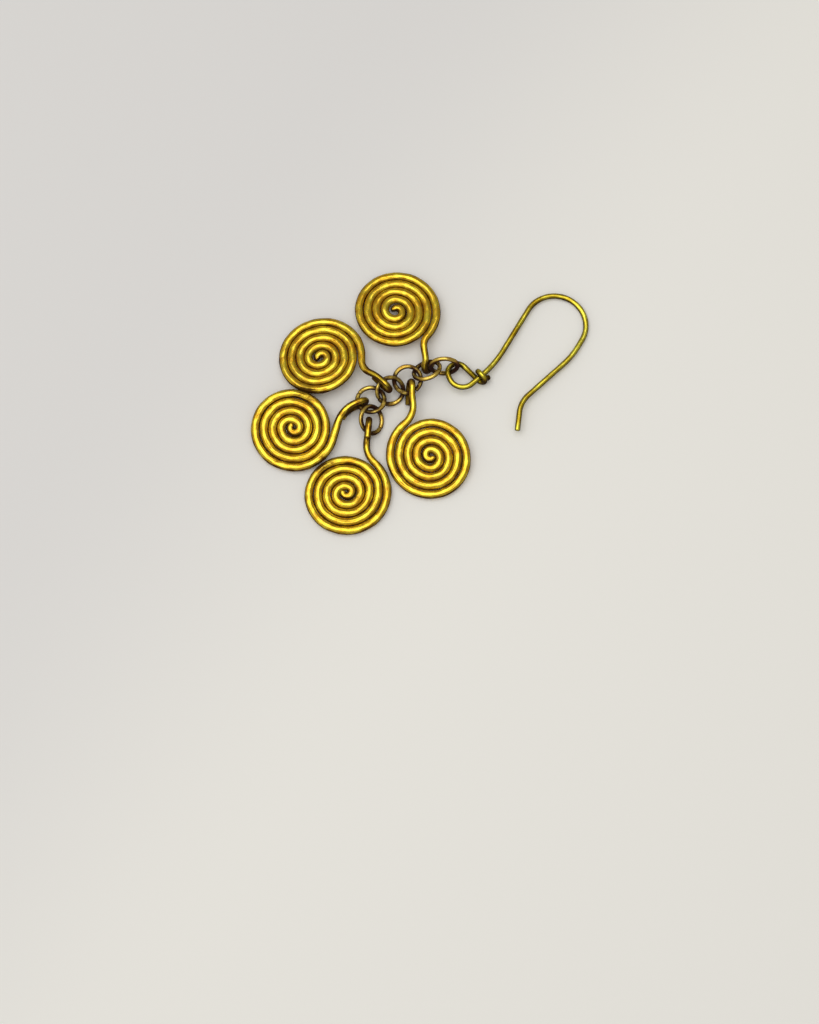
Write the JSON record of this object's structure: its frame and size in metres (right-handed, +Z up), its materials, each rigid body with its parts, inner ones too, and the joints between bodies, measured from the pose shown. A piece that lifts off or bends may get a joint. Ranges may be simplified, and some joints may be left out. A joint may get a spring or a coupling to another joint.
{
  "type": "spiral wire earring",
  "caption": "Dhokra drop earring of flat brass wire spirals hooked on a chain of jump rings, with an open ear wire, lying spread out.",
  "frame": {"origin": "on the table under the middle of the earring as it lies", "axes": "+X along the chain of rings to the ear wire, +Z up from the table, +Y to the far side"},
  "size_m": [0.057, 0.0461, 0.0052],
  "materials": {
    "spiral_brass": "cast and wire-wound, dark patina in the grooves",
    "ring_brass": "drawn wire, darkened",
    "ear_brass": "drawn wire, worn bright"
  },
  "bodies": {
    "root": {"ear_wire": "ear_brass", "ring_1": "ring_brass", "ring_2": "ring_brass", "ring_3": "ring_brass", "ring_4": "ring_brass", "ring_5": "ring_brass", "ring_6": "ring_brass", "spiral_a": "spiral_brass", "spiral_b": "spiral_brass", "spiral_c": "spiral_brass", "spiral_d": "spiral_brass", "spiral_e": "spiral_brass"}
  },
  "joints": []
}
